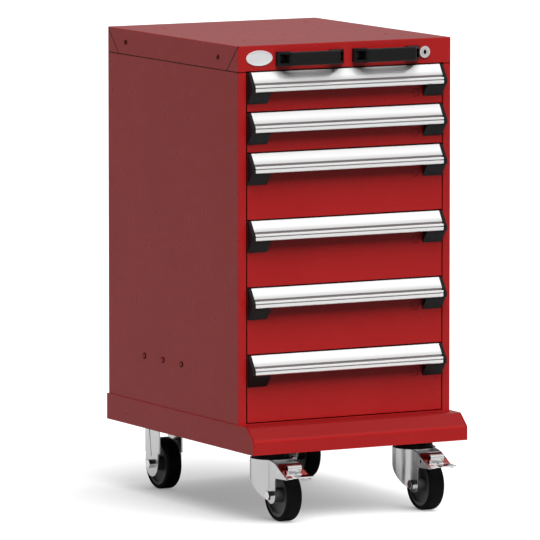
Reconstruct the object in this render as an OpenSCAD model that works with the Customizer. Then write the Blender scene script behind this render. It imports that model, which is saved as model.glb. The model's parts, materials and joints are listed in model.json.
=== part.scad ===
// Mobile drawer cabinet: a sheet-steel housing with six drawers on full-extension
// roller slides, standing on a base with two rigid and two braked swivel casters.
// Millimetres. X is to the right, Y to the back, Z up. The origin is on the floor,
// at the centre of the whole footprint.

/* [Housing] */
// Width of the housing over its side panels
cabinet_w = 457.2; // [430:0.1:620]
// Depth of the housing from the front face to the back
cabinet_d = 533.4; // [530:0.1:720]
// Height of the top cover
cover_h = 50.2; // [46:0.1:60]
// Thickness of the housing's sheet steel
sheet = 1.5; // [1.2:0.1:2]
// Outside radius of the cover's folded edges
fold_r = 2; // [1.6:0.1:3]
// Width of the front stile on each side panel
stile_w = 16.5; // [16:0.1:24]
// Depth of the stile's return flange
stile_return = 20; // [14:0.1:21]
// Width of the rear flange that carries the back panel
rear_flange = 15; // [10:0.5:30]
// Height of the upstand inside the cover
upstand_h = 40; // [34:0.5:42]
// Height of the lap that ties an upstand to its side panel
lap_h = 6; // [4:0.5:10]
// Gap between the cover and the upstand inside it
cover_fit = 0.2; // [0.1:0.05:0.5]
// Width of the mitre seam on the cover's sides
seam_w = 0.7; // [0.4:0.1:1.2]
// Distance of each mitre seam's lower end from the corner
seam_run = 47; // [30:1:49]
// Depth of the mitre seams
seam_depth = 0.5; // [0.3:0.1:0.8]
// Diameter of the four fixing holes in the top
top_hole_d = 8.5; // [5:0.1:14]
// Spacing of the fixing holes in the top across the width
top_hole_x = 308; // [200:1:380]
// Spacing of the fixing holes in the top along the depth
top_hole_y = 323; // [200:1:380]
// Distance of the front pair of fixing holes from the front face
top_hole_front = 117; // [60:1:150]

/* [Drawers] */
// Height taken by each of the two upper drawers
shallow_pitch = 76.2; // [75:0.1:110]
// Height taken by each of the four lower drawers
deep_pitch = 127; // [80:0.1:200]
// Gap between neighbouring drawer fronts
drawer_gap = 2.6; // [2:0.1:4]
// Extra height of the lowest drawer's front
bottom_lap = 2.2; // [0:0.1:6]
// Gap between the lowest drawer's front and the base
sill_gap = 3.5; // [2.6:0.1:6]
// Gap between a drawer front and the stiles
side_gap = 2.5; // [1.5:0.1:4]
// Depth of the flange folded round each drawer front
front_return = 18; // [12:0.1:20]
// Thickness of the drawer tray's sheet
tray_sheet = 1.2; // [0.8:0.1:1.5]
// Inside depth of the drawer tray
tray_depth = 480; // [400:1:500]
// Height of the tray's floor above the front's lower edge
tray_rise = 6; // [4:0.1:9]
// Drop of the tray's walls below the front's upper edge
tray_drop = 14; // [8:0.1:15]
// Diameter of the round knock-out in each drawer front
knockout_d = 16; // [8:0.1:24]
// Depth of the knock-out's recess
knockout_depth = 0.4; // [0.2:0.1:0.8]
// Distance of the knock-out from the middle of the drawer
knockout_x = 152; // [60:1:154]
// Distance of the knock-out below the drawer front's upper edge
knockout_drop = 52; // [40:0.5:58]

/* [Slides] */
// Distance of the rails behind the front face
rail_setback = 40; // [38:0.5:48]
// Length of each cabinet rail
rail_len = 480; // [475:0.5:485]
// Length of each carriage and of each drawer's own rail
carriage_len = 470; // [464:0.5:474]
// Travel of a drawer from shut to fully open
drawer_travel = 450; // [380:1:450]
// Outside height of the rails
rail_h = 28; // [22:0.1:30]
// Thickness of the rails' steel
rail_t = 2; // [1.2:0.1:2.5]
// Gap between the cabinet rail's flanges and the carriage plate
rail_edge = 2.6; // [1.5:0.1:3]
// Width of the flanges of the drawer's own rail
runner_w = 10.5; // [9:0.1:11]
// Thickness of the drawer's own rail
runner_t = 1.5; // [1:0.1:2]
// Height of the rails' centre line above the front's lower edge
rail_rise = 28; // [22:0.1:30]
// Thickness of the carriage plate
carriage_t = 3; // [2:0.1:4]
// Height of the carriage plate
carriage_h = 24; // [18:0.1:28]
// Gap between the carriage and the stile that it passes
slide_clear = 1.1; // [0.6:0.1:2]
// Room between the carriage plate and the drawer tray
slide_room = 12; // [11.5:0.1:15]
// Running gap between a roller and its rail
run_gap = 0.3; // [0.2:0.05:0.4]
// Width of the rollers that run in the cabinet rail
outer_roller_w = 10; // [7:0.1:10.6]
// Width of the rollers that run in the drawer's rail
inner_roller_w = 7.5; // [5:0.1:8]
// Diameter of the rollers' studs
stud_d = 8; // [6:0.1:10]
// Radial clearance of a roller on its stud
stud_fit = 0.05; // [0.02:0.01:0.1]
// Thickness of the head that keeps a roller on its stud
stud_head_t = 1; // [0.6:0.1:1.2]
// Diameter of that head
stud_head_d = 12; // [11:0.1:14]
// Distance of the end rollers from the carriage's ends
roller_inset = 16; // [13:0.5:24]
// Length of rail beyond the inner rollers when the drawer is fully open
roller_hold = 25; // [14:0.5:30]

/* [Drawer grips] */
// Reach of the grip in front of the drawer
grip_reach = 20.4; // [18:0.1:28]
// Height of the grip extrusion
grip_h = 36; // [33:0.1:40]
// Wall of the grip extrusion
grip_wall = 2; // [1.4:0.1:2.4]
// Drop of the extrusion's upper edge below the drawer's upper edge
grip_drop = 0.8; // [0.4:0.1:1.5]
// Reach of the sloped face at its upper edge
slope_top = 2.5; // [2.5:0.1:5]
// Reach of the sloped face at its lower edge
slope_foot = 15.1; // [13:0.1:16]
// Drop of the sloped face's lower edge below the drawer's upper edge
slope_drop = 19.2; // [17:0.1:20]
// Drop of the nose's upper edge below the drawer's upper edge
nose_drop = 23.4; // [22.8:0.1:25]
// Chamfer along the nose's edges
nose_edge = 1.5; // [0.8:0.1:1.8]
// Thickness of the nose
nose_wall = 2.5; // [2:0.1:3]
// Height of the groove above the nose
groove_h = 1.4; // [0.8:0.1:2]
// Drop of the line in the nose's face below the nose's upper edge
line_drop = 5; // [4:0.1:7]
// Depth of the line in the nose and of the groove above it
line_depth = 0.8; // [0.4:0.1:1]
// Depth of the back flange that lies on the drawer front
flange_h = 16; // [12:0.5:22]
// Width of each end cap beside the extrusion
cap_w = 7.1; // [5:0.1:10]
// Amount by which an end cap stands proud of the extrusion
cap_proud = 1.2; // [0.6:0.1:2]
// Drop of the end cap's front corner below the nose's upper edge
cap_corner = 3.6; // [2:0.1:5]
// Width of the foot under the extrusion
foot_w = 42; // [30:0.5:50]
// Reach of the foot's upper edge
foot_reach = 15.4; // [12:0.1:18]
// Drop of the foot's upper edge below the drawer's upper edge
foot_top = 40; // [39:0.1:44]
// Drop of the foot's lower edge below the drawer's upper edge
foot_drop = 60; // [50:0.5:70]
// Gap between the extrusion and the foot under it
foot_fit = 0.2; // [0.1:0.05:0.4]

/* [Pulls] */
// Length of a pull along the cover
pull_len = 142; // [120:0.5:146]
// Length of the pull's front face
pull_front = 100; // [86:0.5:106]
// Reach of the pull in front of the cover
pull_reach = 30; // [26:0.5:40]
// Height of the pull
pull_h = 26; // [20:0.5:30]
// Thickness of the pull's bar
pull_bar = 8; // [6:0.1:10]
// Thickness of the pull's foot at its end
pull_foot = 8; // [7:0.1:12]
// Length of each foot on the cover
pull_foot_len = 28; // [24:0.5:32]
// Radius along the pull's front edges
pull_r = 4; // [2:0.1:6]
// Thickness of the floor under a screw pocket
pocket_floor = 5; // [3:0.1:6]
// Width of a screw pocket
pocket_w = 13; // [11:0.1:14]
// Height of a screw pocket
pocket_h = 17; // [12:0.1:18]
// Distance of a screw pocket from the pull's end
pocket_inset = 4; // [3:0.1:5]
// Distance between the pulls' centres
pull_pitch = 164; // [150:0.5:180]
// Distance of the right pull's centre from the lock
pull_lock = 85.2; // [85:0.1:95]
// Centre of the pulls below the top
pull_drop = 26; // [20:0.1:28]

/* [Lock] */
// Distance of the lock from the housing's right side
lock_in = 57.9; // [50:0.1:64]
// Distance of the lock below the top
lock_drop = 25.9; // [22:0.1:28]
// Diameter of the bezel
bezel_d = 22.6; // [20:0.1:23]
// Thickness of the bezel
bezel_t = 3; // [2:0.1:5]
// Diameter of the lock body behind the cover
lock_body_d = 19; // [17:0.1:19.4]
// Length of the lock body behind the cover
lock_body_len = 24; // [18:0.1:26]
// Diameter of the turning plug
plug_d = 12; // [9:0.1:14]
// Radial running clearance of the plug
plug_fit = 0.05; // [0.02:0.01:0.1]
// Width of the keyway's pointed mouth
keyway_w = 6.2; // [5:0.1:7]
// Height of the keyway's mouth
keyway_h = 9.2; // [8:0.1:9.6]
// Depth of the keyway
keyway_depth = 8; // [3:0.1:14]
// Throw of the cam's pin from the plug's axis
cam_throw = 8.5; // [7:0.1:9]
// Diameter of the cam round the plug
cam_d = 16; // [14:0.1:17]
// Width of the cam's arm
cam_w = 10; // [8:0.1:11]
// Thickness of the cam
cam_t = 2.5; // [1.5:0.1:3]
// Diameter of the cam's pin
cam_pin_d = 5; // [4:0.1:6]
// Clearance of the pin in the lock bar's slot
cam_fit = 0.6; // [0.5:0.05:1]
// Gap between the cam and the lock bar's arm
arm_gap = 1.2; // [0.5:0.1:2]
// Thickness of the lock bar
bar_t = 3; // [2:0.1:4]
// Reach of the lock bar's upright in front of its fingers
bar_lead = 14; // [4:0.5:16]
// Height of the lock bar's arm
arm_h = 16; // [13:0.1:18]
// Thickness of a lock finger along the drawer's travel
finger_t = 4; // [3:0.1:5]
// Height of a lock finger
finger_h = 6; // [4:0.1:7]
// Reach of a lock finger into the drawer's path
finger_reach = 10; // [6:0.1:12]
// Height of the free finger above the drawer front's lower edge
finger_rise = 59.5; // [58.5:0.1:62]
// Height of a drawer's catch above the front's lower edge
catch_rise = 49; // [46:0.1:51]
// Height of a drawer's catch
catch_h = 8; // [5:0.1:8.2]
// Thickness of a drawer's catch
catch_t = 3; // [2:0.1:4]
// Gap between a lock finger and what stands in front of it
finger_gap = 2; // [1:0.1:3]
// Gap between a finger and its catch when the drawer is shut
catch_gap = 2; // [1:0.1:3]

/* [Base] */
// Height of the base
base_h = 50; // [44:0.1:70]
// Amount by which the base stands proud of the housing's sides
base_side = 2.9; // [1:0.1:10]
// Amount by which the base stands proud of the housing's back
base_rear = 2.3; // [1:0.1:10]
// Reach of the bumper in front of the housing
bumper_reach = 62.6; // [50:0.1:80]
// Depth of the shelf between the housing and the bumper's slope
shelf_depth = 36.5; // [20:0.1:45]
// Height of the bumper's upright face
bumper_face = 26.7; // [18:0.1:34]
// Outside radius of the bumper's folds
bumper_r = 9; // [5:0.1:12]
// Thickness of the base's steel
base_t = 3; // [2:0.1:4]
// Depth of each cross member that carries a pair of casters
cross_w = 116; // [108:1:118]
// Width of the weld seam beside the bumper
bumper_seam = 0.8; // [0.4:0.1:1.5]
// Height of the casters' seats above the base's lower edge
seat_rise = 10; // [9:0.1:14]

/* [Casters] */
// Height of the base's lower edge above the floor
caster_h = 131; // [128:0.1:150]
// Distance of the casters from the middle
caster_x = 153.7; // [150:0.1:164]
// Distance of the kingpins behind the housing's front face
kingpin_y = 6; // [0:0.1:14]
// Distance of the rear casters' axles behind the front face
rear_y = 447.3; // [420:0.1:460]
// Width of a caster's top plate
plate_w = 85; // [80:0.5:95]
// Depth of a caster's top plate
plate_d = 100; // [96:0.5:105]
// Thickness of a caster's top plate
plate_t = 3.5; // [2.5:0.1:5]
// Corner radius of a caster's top plate
plate_r = 8; // [3:0.1:9]
// Spacing of the bolts across a top plate
bolt_x = 60; // [56:0.5:66]
// Spacing of the bolts along a top plate
bolt_y = 80; // [78:0.5:84]
// Diameter of the bolts
bolt_d = 8; // [6:0.1:8]
// Clearance of the bolts in their holes, on the diameter
bolt_fit = 0.5; // [0.3:0.1:1]
// Width of the bolts' heads and nuts across corners
bolt_head_d = 15; // [12:0.1:15]
// Thickness of the bolts' heads and nuts
bolt_head_t = 5.5; // [4:0.1:6]
// Diameter of the swivel head
head_d = 83; // [74:0.5:84]
// Diameter of the ball race under a swivel caster's plate
race_d = 70; // [64:0.5:72]
// Height of that ball race
race_h = 9.8; // [8:0.1:11]
// Height of the seal round the swivel head
seal_h = 12; // [10:0.1:13]
// Width of the seal's ring
seal_w = 10; // [6:0.1:14]
// Radius of the seal's lower edge
seal_lip = 2; // [1:0.1:3]
// Thickness of the fork's crown
crown_t = 3.6; // [3:0.1:4]
// Gap between the turning and fixed parts of the swivel head
swivel_gap = 0.3; // [0.2:0.05:0.5]
// Diameter of the kingpin
kingpin_d = 12; // [10:0.1:16]
// Radial running clearance of the kingpin
kingpin_fit = 0.05; // [0.02:0.01:0.1]
// Diameter of the kingpin's head
kingpin_head_d = 22; // [18:0.5:26]
// Thickness of the kingpin's head
kingpin_head_t = 5; // [3:0.1:6]
// Half width over the fork's legs
fork_half = 26; // [25.5:0.1:28]
// Thickness of the fork's steel
fork_t = 3; // [2.5:0.1:3.4]
// Offset of the wheel in front of the kingpin
trail = 44; // [40:0.1:46]
// Radius of the fork's end round the axle
fork_end_r = 16; // [13:0.1:18]
// Height of the fork's skirt at the back, above the floor
skirt_z = 101; // [96:0.1:106]
// Reach of the fork's arms in front of the kingpin
arm_reach = 107; // [100:0.1:112]
// Height of the arms' tips above the floor
arm_tip_z = 86; // [82:0.1:90]
// Reach of the arms' upper corner in front of the kingpin
arm_root = 60; // [58:0.1:61]
// Drop of the arms' upper corner and of the shelf between them below the crown
arm_drop = 0.5; // [0.3:0.1:1]
// Reach of the shelf between the arms in front of the kingpin
shelf_reach = 56; // [50:0.1:57]
// Height of the arms' lower edge above the floor, at the leg
arm_low_z = 84; // [80:0.1:86]
// Reach of a rigid fork's leg in front of the axle, above its step
rigid_front = 30; // [27:0.1:31]
// Reach of a rigid fork's leg behind the axle, above its step
rigid_back = 27; // [26:0.1:31]
// Radius of a rigid fork's rounded end
rigid_end_r = 25; // [22:0.1:26]
// Height of the step in a rigid fork's edges, above the floor
rigid_step_z = 72; // [64:0.5:80]
// Width of the rib pressed into a rigid fork's legs, at its upper end
rib_w = 22; // [16:0.5:30]
// Radius of that rib's lower end
rib_r = 3; // [2:0.1:5]
// Height of that rib's lower end above the axle
rib_low = 17; // [14:0.5:22]
// Distance of that rib's upper end below the top plate
rib_high = 19; // [15:0.5:24]
// Depth of the rib
rib_depth = 0.8; // [0.4:0.1:1.2]

/* [Wheels] */
// Diameter of the wheels
wheel_d = 100; // [96:0.1:101]
// Width of the tyres
tyre_w = 32; // [26:0.5:33]
// Radius of the tyres' shoulders
shoulder_r = 7; // [3:0.1:9]
// Diameter of the hub's rim, inside the tyre
rim_d = 84; // [76:0.5:86]
// Radial gap between the hub and the tyre
tyre_fit = 0.05; // [0.02:0.01:0.1]
// Thickness of the hub's rim
rim_t = 5; // [3:0.1:7]
// Amount by which the hub's rim is set in from the tyre's sides
rim_inset = 2; // [1:0.1:4]
// Thickness of the hub's web
web_t = 10; // [6:0.1:14]
// Growth of the web on each side, from the boss to the rim
web_taper = 3; // [1:0.1:4]
// Diameter of the hub's boss
boss_d = 28; // [22:0.5:32]
// Side gap between the hub's boss and the fork
boss_gap = 0.5; // [0.3:0.05:1]
// Diameter of the axle bolts
axle_d = 10; // [8:0.1:12]
// Radial running clearance of the hub on its axle
axle_fit = 0.05; // [0.02:0.01:0.1]
// Clearance of the axle in the fork, on the diameter
axle_hole_fit = 0.2; // [0.1:0.05:0.4]
// Width of the axle bolt's head and nut across corners
axle_head_d = 18; // [14:0.1:20]
// Thickness of the axle bolt's head and nut
axle_head_t = 6; // [4:0.1:7]

/* [Brakes] */
// Reach of the pedal's foot plate in front of the kingpin
pedal_reach = 124; // [118:0.1:128]
// Height of the foot plate's top above the floor
foot_z = 93; // [92.5:0.1:93.5]
// Reach of the foot plate's back edge in front of the kingpin
foot_root = 98; // [97:0.1:99]
// Distance of the foot plate's left end from the pedal's middle
foot_left = 9; // [4:0.1:10]
// Reach of the toe under the left strip in front of the kingpin
toe_reach = 108; // [105:0.1:112]
// Reach of the pedal frame's upper edge in front of the kingpin
frame_root = 60.5; // [60:0.1:62]
// Height of that edge above the floor
frame_root_z = 112.2; // [111.8:0.1:112.6]
// Reach of the frame's lower end in front of the kingpin
frame_end = 104; // [103:0.1:105]
// Height of that end above the floor
frame_end_z = 89.2; // [88.8:0.1:89.6]
// Width of the strips on both sides of the frame's window
strip_w = 10.7; // [8:0.1:12]
// Reach of the window's upper edge in front of the kingpin
window_reach = 86; // [85:0.1:88]
// Reach of the pedal's pivot in front of the kingpin
pivot_reach = 72; // [71:0.1:73]
// Height of the pedal's pivot above the floor
pivot_z = 97; // [96:0.1:98]
// Diameter of the pedal's pivot pins
pivot_d = 6; // [5:0.1:7]
// Radial running clearance of the pivot pins
pivot_fit = 0.05; // [0.02:0.01:0.1]
// Width of the steel round the pivot pins
pivot_rim = 3; // [2:0.1:4]
// Reach of the pedal's cross tube in front of the kingpin
tube_reach = 84.5; // [83:0.1:85]
// Height of the cross tube's axis above the floor
tube_z = 105; // [104.6:0.1:105.4]
// Diameter of the cross tube
tube_d = 12.6; // [12:0.1:13]
// Bore of the cross tube
tube_bore = 8; // [6:0.1:8.4]
// Length of the cross tube
tube_len = 29; // [26:0.5:34]
// Thickness of the pedal's steel
pedal_t = 2.5; // [2:0.1:3]
// Gap between the pedal's cheeks and the fork's arms
cheek_gap = 0.3; // [0.2:0.05:0.5]
// Reach of the brake shoe in front of the kingpin
shoe_reach = 88; // [86:0.1:90]
// Gap between the brake shoe and the tyre when the brake is off
shoe_gap = 3; // [2.9:0.05:3.6]
// Length of the brake shoe
shoe_len = 14; // [10:0.5:16]
// Drop of the brake shoe's lower edge below the pivot
shoe_drop = 12; // [8:0.5:13]

/* [Fasteners] */
// Distance of the front cover screws behind the front face
cover_screw_front = 81; // [60:0.5:120]
// Distance of the rear cover screws in front of the back
cover_screw_rear = 75.4; // [60:0.5:120]
// Distance of the cover screws below the top
cover_screw_drop = 25.3; // [20:0.1:30]
// Diameter of the cover screws
cover_screw_d = 5; // [4:0.1:6]
// Diameter of the cover screws' heads
cover_head_d = 9; // [8:0.1:12]
// Width across corners of the cover screws' hexagon sockets
cover_socket_d = 4; // [3:0.1:4.6]
// Depth of those sockets
cover_socket_depth = 0.6; // [0.3:0.1:0.7]
// Clearance of the cover and pull screws in their holes, on the diameter
screw_fit = 0.4; // [0.2:0.1:0.8]
// Distance of the middle side plug behind the front face
plug_y = 305.8; // [280:0.1:330]
// Spacing of the side plugs
plug_pitch = 76.2; // [60:0.1:90]
// Height of the side plugs above the base
plug_rise = 90; // [60:0.5:140]
// Diameter of the side plugs' holes
plug_hole_d = 9.5; // [7:0.1:10.5]
// Diameter of the side plugs' heads
plug_head_d = 11.5; // [10.5:0.1:15]
// Thickness of the cover screws' and side plugs' heads
head_t = 1.2; // [0.8:0.1:2]
// Length of the cover screws and side plugs inside the housing
tail_len = 8; // [6:0.5:12]
// Diameter of the pull screws
pull_screw_d = 6; // [5:0.1:7]
// Diameter of the pull screws' heads
pull_screw_head_d = 10; // [8:0.1:10.6]
// Thickness of the pull screws' heads and nuts
pull_screw_head_t = 4; // [3:0.1:5]
// Width across corners of the pull screws' hexagon sockets
pull_socket_d = 5; // [4:0.1:5.6]
// Depth of those sockets
pull_socket_depth = 2.4; // [1.5:0.1:2.8]

/* [Hidden] */
$fn = 48;
EPS = 0.01;
// Set-back of a fold's arc behind the faces it joins
fold_back = 0.05;
SIDES = ["left", "right"];
ENDS = ["front", "rear"];
DRAWERS = [1 : 6];
bottom_pitch = deep_pitch + bottom_lap;
pitches = [shallow_pitch, shallow_pitch, deep_pitch, deep_pitch, deep_pitch, bottom_pitch];

// Heights above the floor
axle_z = wheel_d / 2;
base_top = caster_h + base_h;
cover_z = base_top + sill_gap + pitch_sum(6) - drawer_gap;
top_z = cover_z + cover_h;
lock_z = top_z - lock_drop;
seat_z = caster_h + seat_rise;
plate_z = seat_z - plate_t;
race_z = plate_z - race_h;
seal_z = race_z - seal_h;
crown_top = seal_z - swivel_gap;
crown_z = crown_top - crown_t;

// Half widths, from the middle of the cabinet
half_w = cabinet_w / 2;
inner_half = half_w - sheet;
stile_half = half_w - stile_w;
front_half = stile_half - side_gap;
carriage_out = stile_half - slide_clear;
carriage_in = carriage_out - carriage_t;
tray_half = carriage_in - slide_room;
base_half = half_w + base_side;

// Places along the depth, from the housing's front face
front_over = pedal_reach - kingpin_y;
front_face = (front_over - cabinet_d - base_rear) / 2;
back_y = cabinet_d - 2 * sheet;
front_axle_y = kingpin_y - trail;
finger_y = max(stile_return, front_return) + finger_gap;
catch_y = finger_y + finger_t + catch_gap;
cam_y = sheet + lock_body_len + run_gap;
arm_y = cam_y + cam_t + arm_gap;
bar_y = finger_y - bar_lead;
bar_end = max(finger_y + finger_t, arm_y + bar_t);

// Front fittings, laid out from the housing's right side
lock_x = half_w - lock_in;
right_pull_x = lock_x - pull_lock;
left_pull_x = right_pull_x - pull_pitch;

// Lock bar: the pin's angle and rise over the lock's axis, and the upright's inner face
cam_turn = 45;
pin_rise = cam_throw * sin(cam_turn);
bar_x = stile_half + sheet + run_gap;

// Slides: the cabinet rail's width, the rollers and their places along the carriage
rail_w = inner_half - carriage_out - rail_edge;
roller_d = rail_h - 2 * rail_t - 2 * run_gap;
carriage_travel = drawer_travel / 2;
outer_rollers = [carriage_travel + roller_hold, carriage_len - roller_inset];
inner_rollers = [roller_inset, carriage_len - carriage_travel - roller_hold];

// Lean of the bumper's slope from upright
bumper_lean = atan2(bumper_reach - shelf_depth, base_h - bumper_face);

function pitch_sum(n) = n == 0 ? 0 : pitches[n - 1] + pitch_sum(n - 1);
function drawer_high(n) = cover_z - pitch_sum(n - 1);
function drawer_low(n) = drawer_high(n) - pitches[n - 1] + drawer_gap;
function side_sign(side) = side == "left" ? -1 : 1;

// Puts a piece that is drawn from the housing's front face into the cabinet's frame
module from_front() {
    translate([0, front_face, 0]) children();
}

// Both sides of the cabinet: drawn for the right, mirrored for the left
module both_sides() {
    children();
    mirror([1, 0, 0]) children();
}

// The corner left outside a quarter circle of radius r
module corner_waste(r) {
    difference() {
        square(r);
        translate([r, r]) circle(r);
    }
}

// A fold of radius r, where two edges leave the origin at the angles from and to: its end on one of them
function fold_end(r, from, to, edge) = r / tan((to - from) / 2) * [cos(edge), sin(edge)];

// Distance of that fold's centre from the corner, so that its arc stays just behind both edges
function fold_depth(r, from, to) = r / sin((to - from) / 2) + fold_back;

// The round of that fold, which fills out a straight cut from end to end
module fold(r, from, to) {
    rotate((from + to) / 2) translate([fold_depth(r, from, to), 0]) circle(r);
}

// A rectangle of w by d round the origin, with rounded corners
module round_rect(w, d, r) {
    square([w - 2 * r, d], center = true);
    square([w, d - 2 * r], center = true);
    for (x = [-1, 1], y = [-1, 1]) {
        translate([x * (w / 2 - r), y * (d / 2 - r)]) circle(r);
    }
}

// A cylinder along X, from x0 to x1
module rod_x(x0, x1, d, sides = 0) {
    translate([x0, 0, 0]) rotate([90, 0, 90]) cylinder(d = d, h = x1 - x0, $fn = sides > 0 ? sides : $fn);
}

// A cylinder along Y, from y0 to y1
module rod_y(y0, y1, d, sides = 0) {
    translate([0, y0, 0]) rotate([-90, 0, 0]) cylinder(d = d, h = y1 - y0, $fn = sides > 0 ? sides : $fn);
}

// A profile of Y and Z, drawn out along X from x0 to x1
module along_x(x0, x1) {
    translate([x0, 0, 0]) rotate([90, 0, 90]) linear_extrude(x1 - x0) children();
}

// Places of the cover screws on the right side
module at_cover_screws() {
    for (y = [cover_screw_front, cabinet_d - cover_screw_rear]) {
        translate([0, y, top_z - cover_screw_drop]) children();
    }
}

// Places of the side plugs on the right side
module at_side_plugs() {
    for (k = [-1 : 1]) {
        translate([0, plug_y + k * plug_pitch, base_top + plug_rise]) children();
    }
}

// Places of the pull screws, at the pocket centres
module at_pull_screws() {
    for (x = [left_pull_x, right_pull_x], k = [-1, 1]) {
        translate([x + k * (pull_len / 2 - pocket_inset - pocket_w / 2), 0, top_z - pull_drop]) children();
    }
}

// Places of the four casters' plates, by their centres
module at_casters() {
    for (x = [-caster_x, caster_x], y = [kingpin_y, rear_y]) translate([x, y, 0]) children();
}

// Places of one plate's bolts
module at_bolts() {
    for (x = [-1, 1], y = [-1, 1]) translate([x * bolt_x / 2, y * bolt_y / 2, 0]) children();
}

// Housing

// A side panel of one folded sheet: wall, front stile with its return, and rear flange
module right_panel() {
    lap_t = sheet + cover_fit;
    difference() {
        union() {
            translate([0, 0, base_top]) linear_extrude(cover_z - base_top) difference() {
                union() {
                    translate([inner_half, 0]) square([sheet, cabinet_d]);
                    translate([stile_half, 0]) square([stile_w, sheet]);
                    translate([stile_half, 0]) square([sheet, stile_return]);
                    translate([half_w - rear_flange, cabinet_d - sheet]) square([rear_flange, sheet]);
                }
                translate([half_w, 0]) mirror([1, 0]) corner_waste(fold_r);
                translate([half_w, cabinet_d]) rotate(180) corner_waste(fold_r);
            }
            translate([inner_half - lap_t, rail_setback, cover_z - lap_h])
                cube([lap_t, back_y - 2 * rail_setback, lap_h]);
            translate([inner_half - lap_t, rail_setback, cover_z - EPS])
                cube([sheet, back_y - 2 * rail_setback, upstand_h + EPS]);
        }
        at_cover_screws() rod_x(0, half_w, cover_screw_d + screw_fit);
        at_side_plugs() rod_x(0, half_w + EPS, plug_hole_d);
    }
}

module right_side_panel() {
    color("firebrick") from_front() right_panel();
}

module left_side_panel() {
    color("firebrick") from_front() mirror([1, 0, 0]) right_panel();
}

module back_panel() {
    color("firebrick") from_front() translate([-inner_half, back_y, base_top])
        cube([2 * inner_half, sheet, cover_z - base_top]);
}

// The bottom, with a sill that runs forward between the stiles
module bottom_panel() {
    front = stile_return + cover_fit;
    sill_half = stile_half - cover_fit;
    color("firebrick") from_front() translate([0, 0, base_top]) linear_extrude(sheet) union() {
        translate([-inner_half, front]) square([2 * inner_half, back_y - front]);
        translate([-sill_half, 0]) square([2 * sill_half, front + EPS]);
    }
}

// The cover's outer form, with rounded folds along its top and upright edges
module cover_block() {
    intersection() {
        translate([0, cabinet_d, cover_z]) rotate([90, 0, 0]) linear_extrude(cabinet_d) difference() {
            translate([-half_w, 0]) square([cabinet_w, cover_h]);
            translate([half_w, cover_h]) rotate(180) corner_waste(fold_r);
            translate([-half_w, cover_h]) rotate(-90) corner_waste(fold_r);
        }
        along_x(-half_w, half_w) translate([0, cover_z]) difference() {
            square([cabinet_d, cover_h]);
            translate([cabinet_d, cover_h]) rotate(180) corner_waste(fold_r);
            translate([0, cover_h]) rotate(-90) corner_waste(fold_r);
        }
        translate([0, cabinet_d / 2, cover_z]) linear_extrude(cover_h)
            round_rect(cabinet_w, cabinet_d, fold_r);
    }
}

// The diagonal seam where the end skirts overlap the side skirt, drawn at a front corner
module mitre_seam() {
    lean = atan2(seam_run, cover_h);
    reach = sqrt(seam_run * seam_run + cover_h * cover_h);
    translate([half_w - seam_depth, 0, top_z]) rotate([180 - lean, 0, 0])
        translate([0, -seam_w / 2, fold_r]) cube([sheet, seam_w, reach]);
}

module top_cover() {
    color("firebrick") from_front() difference() {
        cover_block();
        translate([-inner_half, sheet, cover_z - EPS])
            cube([2 * inner_half, cabinet_d - 2 * sheet, cover_h - sheet + EPS]);
        translate([-stile_half, -EPS, cover_z - EPS])
            cube([2 * stile_half, sheet + 2 * EPS, drawer_gap + EPS]);
        for (x = [-1, 1], y = [top_hole_front, top_hole_front + top_hole_y]) {
            translate([x * top_hole_x / 2, y, cover_z]) cylinder(d = top_hole_d, h = cover_h + EPS);
        }
        both_sides() {
            at_cover_screws() rod_x(inner_half - EPS, half_w + EPS, cover_screw_d + screw_fit);
            mitre_seam();
            translate([0, cabinet_d, 0]) mirror([0, 1, 0]) mitre_seam();
        }
        translate([lock_x, 0, lock_z]) rod_y(-EPS, sheet + EPS, lock_body_d + screw_fit);
        at_pull_screws() rod_y(-EPS, sheet + EPS, pull_screw_d + screw_fit);
    }
}

// A headed pin through the right side's sheet
module side_pin(outer_d, inner_d) {
    rod_x(half_w, half_w + head_t, outer_d);
    rod_x(half_w - tail_len, half_w + EPS, inner_d);
}

module cover_screws() {
    color("firebrick") from_front() both_sides() at_cover_screws() difference() {
        side_pin(cover_head_d, cover_screw_d);
        rod_x(half_w + head_t - cover_socket_depth, half_w + head_t + EPS, cover_socket_d, 6);
    }
}

module side_plugs() {
    color("firebrick") from_front() both_sides() at_side_plugs()
        side_pin(plug_head_d, plug_hole_d - screw_fit);
}

// Slides

// A channel section with its web on the left, its flanges to the right
module channel(width, height, wall) {
    difference() {
        translate([0, -height / 2]) square([width, height]);
        translate([wall, wall - height / 2]) square([width, height - 2 * wall]);
    }
}

// A channel's section of X and Z, drawn out along Y from the rails' front ends
module rail_run(length) {
    translate([0, rail_setback + length, 0]) rotate([90, 0, 0]) linear_extrude(length) children();
}

module cabinet_rails() {
    color("silver") from_front() for (n = DRAWERS) translate([0, 0, drawer_low(n) + rail_rise]) both_sides()
        rail_run(rail_len) translate([inner_half, 0]) mirror([1, 0]) channel(rail_w, rail_h, rail_t);
}

// A stud with its head, along X from the carriage's face
module stud(length) {
    rod_x(0, length, stud_d);
    rod_x(length - stud_head_t, length, stud_head_d);
}

// A roller on that stud
module roller(width) {
    difference() {
        rod_x(run_gap, run_gap + width, roller_d);
        rod_x(0, run_gap + width + EPS, stud_d + 2 * stud_fit);
    }
}

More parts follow.
